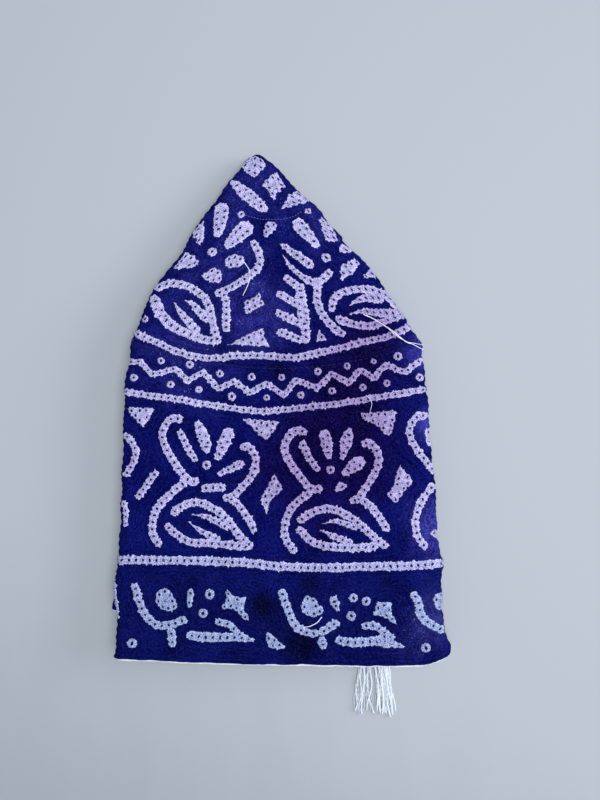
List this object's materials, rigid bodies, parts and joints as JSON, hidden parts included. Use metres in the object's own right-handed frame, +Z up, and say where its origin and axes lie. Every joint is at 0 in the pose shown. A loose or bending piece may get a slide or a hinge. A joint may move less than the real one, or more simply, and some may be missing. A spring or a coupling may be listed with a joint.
{
  "type": "prayer cap",
  "caption": "Soft embroidered prayer cap folded flat: a tall side wall with tucked-in sides, a crown drawn up to a point, and a thread tassel at the open mouth.",
  "frame": {"origin": "on the table, under the middle of the whole folded cap", "axes": "+Y from the mouth to the tip, +X to the right seen from above, +Z up from the table to the front face"},
  "size_m": [0.1516, 0.2572, 0.0252],
  "materials": {
    "stitched_cotton": "matt indigo cotton, closely stitched",
    "white_thread": "matt off-white cotton thread"
  },
  "bodies": {
    "root": {"side_wall": "stitched_cotton", "crown": "stitched_cotton", "thread_tassel": "white_thread"}
  },
  "joints": []
}
